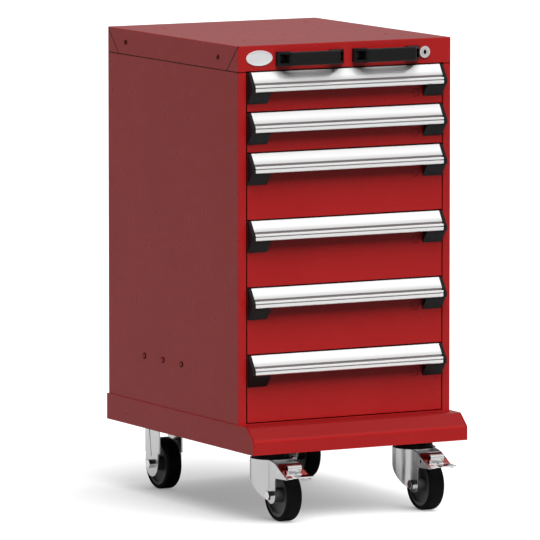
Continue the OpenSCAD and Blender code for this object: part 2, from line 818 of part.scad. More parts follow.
module carriage(n) {
    outer_stud = outer_roller_w + 2 * run_gap + stud_head_t;
    inner_stud = inner_roller_w + 2 * run_gap + stud_head_t;
    color("silver") from_front() translate([0, rail_setback, drawer_low(n) + rail_rise]) both_sides() {
        union() {
            translate([carriage_in, 0, -carriage_h / 2]) cube([carriage_t, carriage_len, carriage_h]);
            for (y = outer_rollers) translate([carriage_out, y, 0]) stud(outer_stud);
            for (y = inner_rollers) translate([carriage_in, y, 0]) mirror([1, 0, 0]) stud(inner_stud);
        }
        for (y = outer_rollers) translate([carriage_out, y, 0]) roller(outer_roller_w);
        for (y = inner_rollers) translate([carriage_in, y, 0]) mirror([1, 0, 0]) roller(inner_roller_w);
    }
}

// Drawers

// The drawer front: a pan with its flange folded back all round
module drawer_front(low, high) {
    difference() {
        translate([-front_half, 0, low]) cube([2 * front_half, front_return, high - low]);
        translate([-front_half + sheet, sheet, low + sheet])
            cube([2 * (front_half - sheet), front_return, high - low - 2 * sheet]);
        translate([knockout_x, 0, high - knockout_drop]) rod_y(-EPS, knockout_depth, knockout_d);
    }
}

// The open tray behind the front
module drawer_tray(low, high) {
    floor_z = low + tray_rise;
    difference() {
        translate([-tray_half, front_return - tray_sheet, floor_z])
            cube([2 * tray_half, tray_depth + 2 * tray_sheet, high - tray_drop - floor_z]);
        translate([-tray_half + tray_sheet, front_return, floor_z + tray_sheet])
            cube([2 * (tray_half - tray_sheet), tray_depth, high - low]);
    }
}

module drawer_box(n) {
    low = drawer_low(n);
    high = drawer_high(n);
    runner_h = roller_d + 2 * run_gap + 2 * runner_t;
    color("firebrick") from_front() union() {
        drawer_front(low, high);
        drawer_tray(low, high);
        // flanges that tie the tray's front wall to the pan
        for (x = [-tray_half, tray_half - tray_sheet]) {
            translate([x, sheet - EPS, low + tray_rise])
                cube([tray_sheet, front_return, high - low - tray_rise - tray_drop]);
        }
        // the drawer's own rails
        translate([0, 0, low + rail_rise]) both_sides()
            rail_run(carriage_len) translate([tray_half - EPS, 0]) channel(runner_w, runner_h, runner_t);
        // the catch behind the lock finger
        translate([tray_half - EPS, catch_y, low + catch_rise])
            cube([front_half - tray_half, catch_t, catch_h]);
    }
}

// Section of the grip extrusion in Y and Z, from the drawer front's upper edge.
// It runs down the sloped face, round the groove and the nose, and back inside.
module grip_section() {
    lean = atan2(slope_foot - slope_top, slope_drop - grip_drop);
    inside = grip_wall / cos(lean);
    nose_in = nose_wall - grip_reach;
    flange_top = -grip_drop - (grip_wall + inside - slope_top) / tan(lean);
    difference() {
        polygon([
            [0, -grip_drop],
            [-slope_top, -grip_drop],
            [-slope_foot, -slope_drop],
            [-slope_foot, groove_h - nose_drop],
            [line_depth - slope_foot, groove_h - nose_drop],
            [line_depth - slope_foot, -nose_drop],
            [nose_edge - grip_reach, -nose_drop],
            [-grip_reach, -nose_drop - nose_edge],
            [-grip_reach, nose_edge - grip_h],
            [nose_edge - grip_reach, -grip_h],
            [nose_in, -grip_h],
            [nose_in, -nose_drop - grip_wall],
            [inside - slope_foot, -nose_drop - grip_wall],
            [inside - slope_foot, -slope_drop],
            [-grip_wall, flange_top],
            [-grip_wall, -flange_h],
            [0, -flange_h]
        ]);
        translate([-grip_reach, -nose_drop - line_drop]) square([2 * line_depth, line_depth], center = true);
    }
}

module drawer_grip(n) {
    color("gainsboro") from_front() translate([0, 0, drawer_high(n)])
        along_x(cap_w - front_half, front_half - cap_w) grip_section();
}

// Outline of an end cap in Y and Z, from the drawer front's upper edge
module cap_section() {
    polygon([
        [0, 0],
        [-slope_top - cap_proud, 0],
        [-slope_foot - cap_proud, -slope_drop],
        [-grip_reach - cap_proud, -nose_drop - cap_corner],
        [-grip_reach - cap_proud, -grip_h],
        [-foot_reach, -foot_top],
        [0, -foot_drop]
    ]);
}

module right_cap() {
    along_x(front_half - cap_w, front_half) cap_section();
    along_x(front_half - foot_w, front_half) intersection() {
        cap_section();
        translate([-foot_reach, -foot_drop]) square([foot_reach, foot_drop - grip_h - foot_fit]);
    }
}

module drawer_end_caps(n) {
    color("dimgray") from_front() translate([0, 0, drawer_high(n)]) both_sides() union() right_cap();
}

// Pulls

// A bridge pull, drawn round its centre on the cover's front face
module pull() {
    half = pull_len / 2;
    front = pull_front / 2;
    difference() {
        translate([0, 0, -pull_h / 2]) linear_extrude(pull_h) polygon([
            [-half, 0],
            [-half, -pull_foot],
            [-front, -pull_reach],
            [front, -pull_reach],
            [half, -pull_foot],
            [half, 0],
            [half - pull_foot_len, 0],
            [front - pull_bar, pull_bar - pull_reach],
            [pull_bar - front, pull_bar - pull_reach],
            [pull_foot_len - half, 0]
        ]);
        for (x = [-1, 1]) {
            translate([x * (half - pocket_inset - pocket_w / 2), -pull_reach / 2 - pocket_floor, 0])
                cube([pocket_w, pull_reach, pocket_h], center = true);
            translate([x * (half - pocket_inset - pocket_w / 2), 0, 0])
                rod_y(-pull_reach, EPS, pull_screw_d + screw_fit);
        }
        for (z = [0, 1]) mirror([0, 0, z]) along_x(-half, half)
            translate([-pull_reach, -pull_h / 2]) corner_waste(pull_r);
    }
}

module left_pull() {
    color("dimgray") from_front() translate([left_pull_x, 0, top_z - pull_drop]) pull();
}

module right_pull() {
    color("dimgray") from_front() translate([right_pull_x, 0, top_z - pull_drop]) pull();
}

// Screws in the pockets, with their nuts inside the cover
module pull_screws() {
    nut_end = sheet + pull_screw_head_t;
    head_end = -pocket_floor - pull_screw_head_t;
    color("dimgray") from_front() at_pull_screws() difference() {
        union() {
            rod_y(head_end, -pocket_floor, pull_screw_head_d);
            rod_y(-pocket_floor - EPS, nut_end, pull_screw_d);
            rod_y(sheet, nut_end, pull_screw_head_d);
        }
        rod_y(head_end - EPS, head_end + pull_socket_depth, pull_socket_d, 6);
    }
}

// Lock

module lock_body() {
    color("silver") from_front() translate([lock_x, 0, lock_z]) difference() {
        union() {
            rod_y(-bezel_t, 0, bezel_d);
            rod_y(-EPS, sheet + lock_body_len, lock_body_d);
        }
        rod_y(-bezel_t - EPS, sheet + lock_body_len + EPS, plug_d + 2 * plug_fit);
    }
}

// The turning plug; the keyway's mouth is bounded by two arcs
module lock_plug() {
    arc_r = (keyway_w * keyway_w + keyway_h * keyway_h) / (4 * keyway_w);
    color("silver") from_front() translate([lock_x, 0, lock_z]) difference() {
        rod_y(-bezel_t, cam_y, plug_d);
        intersection() {
            translate([keyway_w / 2 - arc_r, 0, 0]) rod_y(-bezel_t - EPS, keyway_depth - bezel_t, 2 * arc_r);
            translate([arc_r - keyway_w / 2, 0, 0]) rod_y(-bezel_t - EPS, keyway_depth - bezel_t, 2 * arc_r);
        }
    }
}

// The cam on the plug's end, with a pin that points up and to the side when unlocked
module lock_cam() {
    color("silver") from_front() translate([lock_x, 0, lock_z]) rotate([0, -cam_turn, 0]) union() {
        rod_y(cam_y, cam_y + cam_t, cam_d);
        translate([0, cam_y, -cam_w / 2]) cube([cam_throw, cam_t, cam_w]);
        translate([cam_throw, 0, 0]) rod_y(cam_y, cam_y + cam_t, cam_w);
        translate([cam_throw, 0, 0]) rod_y(cam_y + EPS, arm_y + bar_t + arm_gap, cam_pin_d);
    }
}

// The lock bar: an arm driven by the cam, an upright beside the stile, and one finger for each drawer
module lock_bar() {
    arm_z = lock_z + pin_rise;
    arm_low = arm_z - arm_h / 2;
    arm_len = bar_x + bar_t - lock_x + cam_pin_d;
    slot_w = cam_throw - pin_rise + cam_pin_d + 2 * cam_fit;
    slot_h = cam_pin_d + 2 * cam_fit;
    low = drawer_low(6) + finger_rise - finger_h;
    color("silver") from_front() union() {
        difference() {
            translate([lock_x - cam_pin_d, arm_y, arm_low]) cube([arm_len, bar_t, arm_h]);
            translate([lock_x + pin_rise - cam_pin_d / 2 - cam_fit, arm_y - EPS, arm_z - slot_h / 2])
                cube([slot_w, bar_t + 2 * EPS, slot_h]);
        }
        translate([bar_x, bar_y, low]) cube([bar_t, bar_end - bar_y, arm_low + arm_h - low]);
        for (n = DRAWERS) {
            translate([bar_x + EPS - finger_reach, finger_y, drawer_low(n) + finger_rise])
                cube([finger_reach, finger_t, finger_h]);
        }
    }
}

// Base

// Section of the base in Y and Z, set in by a wall, with rounded folds above and below the bumper's slope
module base_section(inset) {
    slope = 90 - bumper_lean;
    lower = [inset - bumper_reach, bumper_face - inset * tan(bumper_lean / 2)];
    upper = [inset * tan(slope / 2) - shelf_depth, base_h - inset];
    r = bumper_r - inset;
    polygon([
        [inset - bumper_reach, 0],
        lower + fold_end(r, -90, slope, -90),
        lower + fold_end(r, -90, slope, slope),
        upper + fold_end(r, slope + 180, 360, slope + 180),
        upper + fold_end(r, slope + 180, 360, 360),
        [cabinet_d + base_rear - inset, base_h - inset],
        [cabinet_d + base_rear - inset, 0]
    ]);
    translate(lower) fold(r, -90, slope);
    translate(upper) fold(r, slope + 180, 360);
}

// A cross member: a channel inside the base, whose floor is the seat of a pair of casters
module cross_member(y) {
    half = base_half - base_t + EPS;
    along_x(-half, half) intersection() {
        translate([y - cross_w / 2, seat_rise]) difference() {
            square([cross_w, base_h]);
            translate([base_t, base_t]) square([cross_w - 2 * base_t, base_h]);
        }
        base_section(base_t - EPS);
    }
}

module mobile_base() {
    color("firebrick") from_front() translate([0, 0, caster_h]) difference() {
        union() {
            difference() {
                along_x(-base_half, base_half) base_section(0);
                along_x(base_t - base_half, base_half - base_t) translate([0, -EPS]) base_section(base_t);
            }
            cross_member(kingpin_y);
            cross_member(rear_y);
        }
        at_casters() at_bolts() translate([0, 0, seat_rise - EPS])
            cylinder(d = bolt_d + bolt_fit, h = base_t + 2 * EPS);
        // weld seams where the bumper's sheet meets the side plates
        both_sides() along_x(base_half - base_t, base_half - base_t + bumper_seam) intersection() {
            difference() {
                base_section(0);
                base_section(bumper_seam);
            }
            translate([-bumper_reach, EPS]) square([bumper_reach + bumper_r - shelf_depth, base_h]);
        }
    }
}

// Casters

module top_plate() {
    translate([0, 0, plate_z]) linear_extrude(plate_t) difference() {
        round_rect(plate_w, plate_d, plate_r);
        at_bolts() circle(d = bolt_d + bolt_fit);
    }
}

// The two swivel casters, by their kingpins
module at_kingpins() {
    for (x = [-caster_x, caster_x]) translate([x, kingpin_y, 0]) children();
}

module at_kingpin(side) {
    translate([side_sign(side) * caster_x, kingpin_y, 0]) children();
}

module swivel_plates() {
    color("silver") from_front() at_kingpins() difference() {
        union() {
            top_plate();
            translate([0, 0, race_z]) cylinder(d = race_d, h = race_h + EPS);
        }
        translate([0, 0, race_z - EPS]) cylinder(d = kingpin_d + 2 * kingpin_fit, h = race_h + plate_t + 2 * EPS);
    }
}

module swivel_seals() {
    color("dimgray") from_front() at_kingpins() rotate_extrude() difference() {
        translate([head_d / 2 - seal_w, seal_z]) square([seal_w, seal_h]);
        translate([head_d / 2, seal_z]) mirror([1, 0]) corner_waste(seal_lip);
    }
}

module kingpins() {
    low = crown_z - swivel_gap;
    color("silver") from_front() at_kingpins() union() {
        translate([0, 0, low]) cylinder(d = kingpin_d, h = seat_z - low);
        translate([0, 0, low - kingpin_head_t]) cylinder(d = kingpin_head_d, h = kingpin_head_t);
    }
}

// Plan of the swivel fork: a round head whose walls run forward into two legs
module fork_plan(inset) {
    reach = arm_reach + 2 * inset;
    circle(d = head_d - 2 * inset);
    translate([inset - fork_half, -reach]) square([2 * (fork_half - inset), reach]);
}

// Side view of the swivel fork in Y and Z, from the kingpin: skirt, leg, rounded end and arm
module fork_side() {
    skirt_y = head_d / 2;
    run = skirt_y + trail;
    drop = skirt_z - axle_z;
    turn = atan2(drop, run) - acos(fork_end_r / sqrt(run * run + drop * drop));
    translate([-trail, axle_z]) circle(fork_end_r);
    polygon([
        [skirt_y, crown_top],
        [skirt_y, skirt_z],
        [fork_end_r * cos(turn) - trail, axle_z + fork_end_r * sin(turn)],
        [-trail, axle_z],
        [-trail - fork_end_r, axle_z],
        [-trail - fork_end_r, arm_low_z],
        [-arm_reach, arm_tip_z],
        [-arm_root, crown_z - arm_drop],
        [-skirt_y, crown_top]
    ]);
}

module swivel_fork(side) {
    color("silver") from_front() at_kingpin(side) difference() {
        union() {
            intersection() {
                linear_extrude(crown_top) difference() {
                    fork_plan(0);
                    fork_plan(fork_t);
                }
                along_x(-head_d / 2, head_d / 2) fork_side();
            }
            translate([0, 0, crown_z]) cylinder(d = head_d - EPS, h = crown_t);
            // the shelf that ties the arms together in front of the head
            translate([EPS - fork_half, -shelf_reach, crown_z - arm_drop - fork_t])
                cube([2 * (fork_half - EPS), shelf_reach + seal_w - head_d / 2, fork_t]);
        }
        translate([0, 0, crown_z - EPS]) cylinder(d = kingpin_d + 2 * kingpin_fit, h = crown_t + 2 * EPS);
        translate([0, -trail, axle_z]) rod_x(-head_d, head_d, axle_d + axle_hole_fit);
        translate([0, -pivot_reach, pivot_z]) rod_x(-head_d, head_d, pivot_d + 2 * pivot_fit);
    }
}

// An axle bolt with its nut, through a fork's legs
module axle_bolt() {
    rod_x(-fork_half - axle_head_t, fork_half + axle_head_t, axle_d);
    rod_x(-fork_half - axle_head_t, -fork_half, axle_head_d, 6);
    rod_x(fork_half, fork_half + axle_head_t, axle_head_d, 6);
}

module swivel_axle(side) {
    color("silver") from_front() at_kingpin(side) translate([0, -trail, axle_z]) axle_bolt();
}

// The two rigid casters, by their axles
module at_rear() {
    for (x = [-caster_x, caster_x]) translate([x, rear_y, 0]) children();
}

// Outline of a rigid fork's leg in Y and Z: stepped edges and a rounded end
module rigid_leg() {
    high = plate_z + EPS;
    translate([0, axle_z]) circle(rigid_end_r);
    translate([-rigid_end_r, axle_z]) square([2 * rigid_end_r, high - axle_z]);
    translate([-rigid_front, rigid_step_z]) square([rigid_front + rigid_back, high - rigid_step_z]);
}

// The rib pressed into a rigid leg, wide above and narrow below
module rigid_rib() {
    high = plate_z - rib_high;
    low = axle_z + rib_low;
    polygon([[-rib_w / 2, high], [rib_w / 2, high], [rib_r, low], [-rib_r, low]]);
    translate([0, low]) circle(rib_r);
}

module rigid_forks() {
    color("silver") from_front() at_rear() difference() {
        union() {
            top_plate();
            both_sides() along_x(fork_half - fork_t, fork_half) rigid_leg();
        }
        translate([0, 0, axle_z]) rod_x(-head_d, head_d, axle_d + axle_hole_fit);
        both_sides() along_x(fork_half - rib_depth, fork_half + EPS) rigid_rib();
    }
}

module rigid_axles() {
    color("silver") from_front() at_rear() translate([0, 0, axle_z]) axle_bolt();
}

module caster_bolts() {
    color("silver") from_front() at_casters() at_bolts() union() {
        translate([0, 0, plate_z - bolt_head_t]) cylinder(d = bolt_head_d, h = bolt_head_t, $fn = 6);
        translate([0, 0, plate_z - EPS]) cylinder(d = bolt_d, h = plate_t + base_t + bolt_head_t + EPS);
        translate([0, 0, seat_z + base_t]) cylinder(d = bolt_head_d, h = bolt_head_t, $fn = 6);
    }
}

// Wheels

// A wheel's axle, by the caster that carries it
module at_wheel(end, side) {
    y = end == "front" ? front_axle_y : rear_y;
    translate([side_sign(side) * caster_x, y, axle_z]) rotate([0, 90, 0]) children();
}

module hub(end, side) {
    bore = axle_d / 2 + axle_fit;
    rim = rim_d / 2;
    rim_half = tyre_w / 2 - rim_inset;
    boss_half = fork_half - fork_t - boss_gap;
    color("dimgray") from_front() at_wheel(end, side) rotate_extrude() {
        translate([rim - rim_t, -rim_half]) square([rim_t, 2 * rim_half]);
        polygon([
            [boss_d / 2 - EPS, -web_t / 2],
            [rim - rim_t + EPS, -web_t / 2 - web_taper],
            [rim - rim_t + EPS, web_t / 2 + web_taper],
            [boss_d / 2 - EPS, web_t / 2]
        ]);
        translate([bore, -boss_half]) square([boss_d / 2 - bore, 2 * boss_half]);
    }
}

module tyre(end, side) {
    outer = wheel_d / 2;
    inner = rim_d / 2 + tyre_fit;
    half = tyre_w / 2;
    color("dimgray") from_front() at_wheel(end, side) rotate_extrude() difference() {
        translate([inner, -half]) square([outer - inner, tyre_w]);
        translate([outer, half]) rotate(180) corner_waste(shoulder_r);
        translate([outer, -half]) mirror([1, 0]) corner_waste(shoulder_r);
    }
}

// Brakes

// Height of the pedal frame's upper face at a reach in front of the kingpin
function frame_z(reach) =
    frame_root_z + (reach - frame_root) * (frame_end_z - frame_root_z) / (frame_end - frame_root);

// Section of the pedal's sloped frame in Y and Z, from its upper edge to a reach
module frame_side(reach) {
    polygon([
        [-frame_root, frame_root_z],
        [-reach, frame_z(reach)],
        [-reach, frame_z(reach) - pedal_t],
        [-frame_root, frame_root_z - pedal_t]
    ]);
}

// Outline of a pedal cheek in Y and Z, which hangs from the frame to the pivot and the shoe
module cheek_side() {
    pivot_r = pivot_d / 2 + pivot_rim;
    translate([-pivot_reach, pivot_z]) circle(pivot_r);
    polygon([
        [-frame_root, frame_root_z - pedal_t / 2],
        [-frame_end, frame_end_z - pedal_t / 2],
        [-shoe_reach, pivot_z - shoe_drop],
        [-pivot_reach, pivot_z - pivot_r],
        [pivot_r - pivot_reach, pivot_z]
    ]);
}

module brake_pedal(side) {
    out = fork_half - fork_t - cheek_gap;
    inner = out - strip_w;
    half = out - EPS;
    color("silver") from_front() at_kingpin(side) union() {
        both_sides() {
            along_x(inner, out) frame_side(frame_end);
            along_x(out - pedal_t, half) cheek_side();
            translate([0, -pivot_reach, pivot_z]) rod_x(out - pedal_t, fork_half + cheek_gap, pivot_d);
        }
        along_x(-inner - EPS, inner + EPS) frame_side(window_reach);
        translate([0, -tube_reach, tube_z]) difference() {
            rod_x(-tube_len / 2, tube_len / 2, tube_d);
            rod_x(-tube_len, tube_len, tube_bore);
        }
        translate([-foot_left, -pedal_reach, foot_z - pedal_t])
            cube([foot_left + half, pedal_reach - foot_root, pedal_t]);
        translate([-half, -toe_reach, frame_end_z - pedal_t / 2])
            cube([strip_w, toe_reach - foot_root, pedal_t / 2]);
        // the shoe over the tyre, between the pivot and the window
        difference() {
            translate([-half, -shoe_reach, pivot_z - shoe_drop]) cube([2 * half, shoe_len, shoe_drop]);
            translate([0, -trail, axle_z]) rod_x(-out, out, wheel_d + 2 * shoe_gap);
        }
    }
}

left_side_panel();
right_side_panel();
back_panel();
bottom_panel();
top_cover();
cover_screws();
side_plugs();
mobile_base();
cabinet_rails();
left_pull();
right_pull();
pull_screws();
lock_body();
lock_plug();
lock_cam();
lock_bar();
for (n = DRAWERS) {
    drawer_box(n);
    drawer_grip(n);
    drawer_end_caps(n);
    carriage(n);
}
swivel_plates();
swivel_seals();
kingpins();
rigid_forks();
rigid_axles();
caster_bolts();
for (s = SIDES) {
    swivel_fork(s);
    swivel_axle(s);
    brake_pedal(s);
    for (e = ENDS) {
        hub(e, s);
        tyre(e, s);
    }
}
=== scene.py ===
# A mobile drawer cabinet of red powder-coated steel on casters, in a plain white studio.
import json
import math

import bmesh
import bpy
from mathutils import Matrix, Vector


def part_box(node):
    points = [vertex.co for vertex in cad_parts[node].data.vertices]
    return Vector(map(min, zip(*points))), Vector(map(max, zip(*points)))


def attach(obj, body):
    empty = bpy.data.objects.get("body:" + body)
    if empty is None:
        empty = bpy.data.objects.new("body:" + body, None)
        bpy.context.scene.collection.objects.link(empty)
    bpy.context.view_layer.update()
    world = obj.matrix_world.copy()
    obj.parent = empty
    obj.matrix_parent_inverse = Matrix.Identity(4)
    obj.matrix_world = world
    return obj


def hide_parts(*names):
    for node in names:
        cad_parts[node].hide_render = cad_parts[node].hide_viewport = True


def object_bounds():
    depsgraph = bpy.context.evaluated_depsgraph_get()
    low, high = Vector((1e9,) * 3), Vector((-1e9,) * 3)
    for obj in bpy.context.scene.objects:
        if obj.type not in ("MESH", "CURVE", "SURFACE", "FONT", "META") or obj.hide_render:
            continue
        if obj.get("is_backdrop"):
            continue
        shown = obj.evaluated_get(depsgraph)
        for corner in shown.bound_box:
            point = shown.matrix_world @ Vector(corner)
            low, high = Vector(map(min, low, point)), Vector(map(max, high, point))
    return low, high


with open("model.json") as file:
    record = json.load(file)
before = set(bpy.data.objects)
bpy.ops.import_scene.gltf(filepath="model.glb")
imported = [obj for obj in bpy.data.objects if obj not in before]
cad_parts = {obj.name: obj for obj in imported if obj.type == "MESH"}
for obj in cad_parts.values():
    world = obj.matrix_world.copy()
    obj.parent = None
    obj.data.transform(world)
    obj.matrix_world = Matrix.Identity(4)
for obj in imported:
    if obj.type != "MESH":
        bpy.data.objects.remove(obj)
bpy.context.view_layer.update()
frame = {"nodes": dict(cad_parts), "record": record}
nodes = frame["nodes"]
record = frame["record"]


# Camera. It stands far off at the cabinet's front left, a little above its top, with a long lens,
# and looks straight at its aim.

# The unit vector from the cabinet towards something at an azimuth from its front and a rise above the floor
def direction(azimuth, rise):
    azimuth, rise = math.radians(azimuth), math.radians(rise)
    level = math.cos(rise)
    return Vector((math.sin(azimuth) * level, -math.cos(azimuth) * level, math.sin(rise)))


# Puts a camera or a lamp at a distance from its target and turns it to face it
def stand(thing, target, towards, distance):
    bpy.context.collection.objects.link(thing)
    thing.location = target + towards * distance
    thing.rotation_euler = (-towards).to_track_quat("-Z", "Y").to_euler()


aim = Vector((-0.0509, -0.005, 0.4446))
camera_azimuth, camera_rise, camera_distance = -28.41, 6.52, 13.848
camera_data = bpy.data.cameras.new("studio_camera")
camera_data.sensor_width = 36.0
camera_data.lens = 483.6
camera_data.clip_end = 200.0
camera = bpy.data.objects.new("studio_camera", camera_data)
stand(camera, aim, direction(camera_azimuth, camera_rise), camera_distance)
bpy.context.scene.camera = camera
bpy.context.scene.view_settings.view_transform = "Standard"


# Studio. A wide soft lamp stands high in front, with weaker ones at the right and behind, between pale walls.
# To the camera the walls and the floor are white, and the floor keeps the cabinet's soft shadow; its glow
# also dims where the cabinet occludes it, a painted shadow that is darker to the cabinet's left.

# One shader for the rays of one kind, and another for all the rest
def ray_choice(tree, ray, otherwise, seen):
    path = tree.nodes.new("ShaderNodeLightPath")
    choice = tree.nodes.new("ShaderNodeMixShader")
    tree.links.new(path.outputs[ray], choice.inputs["Fac"])
    tree.links.new(otherwise, choice.inputs[1])
    tree.links.new(seen, choice.inputs[2])
    return choice.outputs["Shader"]


# A value stretched from one span to another
def ranged(tree, value, source, target):
    ramp = tree.nodes.new("ShaderNodeMapRange")
    for end, amount in zip(("From Min", "From Max", "To Min", "To Max"), (*source, *target)):
        ramp.inputs[end].default_value = amount
    tree.links.new(value, ramp.inputs["Value"])
    return ramp.outputs["Result"]


white = (1.0, 1.0, 1.0, 1.0)
world = bpy.data.worlds.new("studio_walls")
bpy.context.scene.world = world
world.use_nodes = True
walls = world.node_tree
walls.nodes.clear()


def wall_shade(strength):
    shade = walls.nodes.new("ShaderNodeBackground")
    shade.inputs["Color"].default_value = white
    shade.inputs["Strength"].default_value = strength
    return shade.outputs["Background"]


wall_light = 0.115
bottom_band, top_band = (0.05, 0.12), (1.0, 0.30)
middle_bands = ((0.35, 0.70), (0.56, 0.64), (0.72, 0.90), (0.90, 0.34))
heading = walls.nodes.new("ShaderNodeTexCoord")
axes = walls.nodes.new("ShaderNodeSeparateXYZ")
bands = walls.nodes.new("ShaderNodeValToRGB")
stops = bands.color_ramp.elements
for stop, (rise, grey) in zip(stops, (bottom_band, top_band)):
    stop.position = rise
    stop.color = (grey, grey, grey, 1.0)
for rise, grey in middle_bands:
    stops.new(rise).color = (grey, grey, grey, 1.0)
mirrored_wall = wall_shade(1.0)
walls.links.new(heading.outputs["Generated"], axes.inputs["Vector"])
walls.links.new(axes.outputs["Z"], bands.inputs["Fac"])
walls.links.new(bands.outputs["Color"], mirrored_wall.node.inputs["Color"])
lit_wall = ray_choice(walls, "Is Glossy Ray", wall_shade(wall_light), mirrored_wall)
seen_wall = ray_choice(walls, "Is Camera Ray", lit_wall, wall_shade(1.0))
wall_out = walls.nodes.new("ShaderNodeOutputWorld")
walls.links.new(seen_wall, wall_out.inputs["Surface"])

lamp_distance = 4.0


def add_lamp(name, azimuth, rise, spread, strength):
    lamp_data = bpy.data.lights.new(name, "SUN")
    lamp_data.energy = strength
    lamp_data.angle = math.radians(spread)
    lamp = bpy.data.objects.new(name, lamp_data)
    stand(lamp, Vector(), direction(azimuth, rise), lamp_distance)
    lamp.visible_glossy = False


add_lamp("front_lamp", azimuth=-10.0, rise=60.0, spread=48.0, strength=4.75)
add_lamp("right_lamp", azimuth=80.0, rise=52.0, spread=50.0, strength=0.5)
add_lamp("back_lamp", azimuth=170.0, rise=32.0, spread=60.0, strength=0.9)

floor_size = 60.0
floor_form = bmesh.new()
bmesh.ops.create_grid(floor_form, x_segments=2, y_segments=2, size=floor_size)
floor_mesh = bpy.data.meshes.new("studio_floor")
floor_form.to_mesh(floor_mesh)
floor_form.free()
floor = bpy.data.objects.new("studio_floor", floor_mesh)
bpy.context.collection.objects.link(floor)
floor_paint = bpy.data.materials.new("studio_floor_paint")
floor_paint.use_nodes = True
paint = floor_paint.node_tree
paint.nodes.clear()


def floor_diffuse(grey):
    diffuse = paint.nodes.new("ShaderNodeBsdfDiffuse")
    diffuse.inputs["Color"].default_value = (grey, grey, grey, 1.0)
    return diffuse.outputs["BSDF"]


seen_grey, mirrored_grey, lit_grey = 0.28, 0.46, 0.12
shadow_reach, painted_shadow_lean = 0.52, (0.60, -0.38, 0.70)
open_span, glow_span = (0.0, 0.95), (0.05, 0.88)
# Painted shadow: the floor's glow to the camera is scaled by its occlusion, tilted to fall left of the
# cabinet.
painted_shadow_ao = paint.nodes.new("ShaderNodeAmbientOcclusion")
painted_shadow_ao.samples = 16
painted_shadow_ao.inputs["Distance"].default_value = shadow_reach
tilted = paint.nodes.new("ShaderNodeCombineXYZ")
for axis, share in zip("XYZ", painted_shadow_lean):
    tilted.inputs[axis].default_value = share
paint.links.new(tilted.outputs["Vector"], painted_shadow_ao.inputs["Normal"])
painted_shadow_glow = paint.nodes.new("ShaderNodeEmission")
painted_shadow_glow.inputs["Color"].default_value = white
paint.links.new(ranged(paint, painted_shadow_ao.outputs["AO"], open_span, glow_span), painted_shadow_glow.inputs["Strength"])
white_floor = paint.nodes.new("ShaderNodeAddShader")
paint.links.new(floor_diffuse(seen_grey), white_floor.inputs[0])
paint.links.new(painted_shadow_glow.outputs["Emission"], white_floor.inputs[1])
lit_floor = ray_choice(paint, "Is Glossy Ray", floor_diffuse(lit_grey), floor_diffuse(mirrored_grey))
seen_floor = ray_choice(paint, "Is Camera Ray", lit_floor, white_floor.outputs["Shader"])
floor_out = paint.nodes.new("ShaderNodeOutputMaterial")
paint.links.new(seen_floor, floor_out.inputs["Surface"])
floor_mesh.materials.append(floor_paint)
floor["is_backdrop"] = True


# Housing. Two side panels, a back and a bottom of 1.5 mm sheet steel, folded and spot-welded, under a baked
# red powder coat. The coat is semi-gloss, lies in a very fine orange peel and clouds a little in its depth,
# and what faces up is painted darker, as painted shade and fine dust.
noise_span = (0.3, 0.7)


# Noise on the piece's own coordinates, drawn out along an axis where its stretch is small
def grain(tree, scale, detail, stretch=(1.0, 1.0, 1.0)):
    where = tree.nodes.new("ShaderNodeTexCoord")
    spread = tree.nodes.new("ShaderNodeMapping")
    spread.inputs["Scale"].default_value = stretch
    noise = tree.nodes.new("ShaderNodeTexNoise")
    noise.inputs["Scale"].default_value = scale
    noise.inputs["Detail"].default_value = detail
    tree.links.new(where.outputs["Object"], spread.inputs["Vector"])
    tree.links.new(spread.outputs["Vector"], noise.inputs["Vector"])
    return noise.outputs["Fac"]


# A mix of two colours by a share, whose first colour is still to be given
def blend(tree, share, second):
    mix = tree.nodes.new("ShaderNodeMix")
    mix.data_type = "RGBA"
    mix.inputs["B"].default_value = (*second, 1.0)
    tree.links.new(share, mix.inputs["Factor"])
    return mix


# A finish whose tone, roughness and relief follow a grain each, or the tone's grain where none is given
def grained_finish(name, tones, tone_grain, roughness, bump, rough_grain=None, bump_grain=None,
                   metallic=0.0, gloss=0.5):
    finish = bpy.data.materials.new(name)
    finish.use_nodes = True
    tree = finish.node_tree
    shader = tree.nodes["Principled BSDF"]
    pattern = grain(tree, *tone_grain)
    rough_pattern = grain(tree, *rough_grain) if rough_grain else pattern
    bump_pattern = grain(tree, *bump_grain) if bump_grain else pattern
    first, second = tones
    tone = blend(tree, ranged(tree, pattern, noise_span, (0.0, 1.0)), second)
    tone.inputs["A"].default_value = (*first, 1.0)
    tree.links.new(tone.outputs["Result"], shader.inputs["Base Color"])
    tree.links.new(ranged(tree, rough_pattern, noise_span, roughness), shader.inputs["Roughness"])
    relief = tree.nodes.new("ShaderNodeBump")
    relief.inputs["Distance"].default_value, relief.inputs["Strength"].default_value = bump
    tree.links.new(bump_pattern, relief.inputs["Height"])
    tree.links.new(relief.outputs["Normal"], shader.inputs["Normal"])
    shader.inputs["Metallic"].default_value = metallic
    shader.inputs["Specular IOR Level"].default_value = gloss
    return finish


crease = math.radians(38.0)
touch, sliver, nearly_flat = 0.00002, 0.00001, math.radians(0.4)


def body_of(node):
    return next(body for body, held in record["behaviour"]["bodies"].items() if node in held)


# A finished mesh as an object that rides on a body and has a material slot
def add_piece(name, form, finish, body):
    bmesh.ops.recalc_face_normals(form, faces=form.faces)
    for face in form.faces:
        face.smooth = True
    mesh = bpy.data.meshes.new(name)
    form.to_mesh(mesh)
    form.free()
    mesh.set_sharp_from_angle(angle=crease)
    mesh.materials.append(finish)
    piece = bpy.data.objects.new(name, mesh)
    bpy.context.collection.objects.link(piece)
    even = piece.modifiers.new("even_faces", "WEIGHTED_NORMAL")
    even.keep_sharp = True
    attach(piece, body)
    return piece


def bevelled(form, edges, radius, segments):
    bmesh.ops.bevel(form, geom=edges, offset=radius, offset_type="OFFSET", segments=segments, profile=0.5,
                    affect="EDGES", clamp_overlap=True, material=-1)


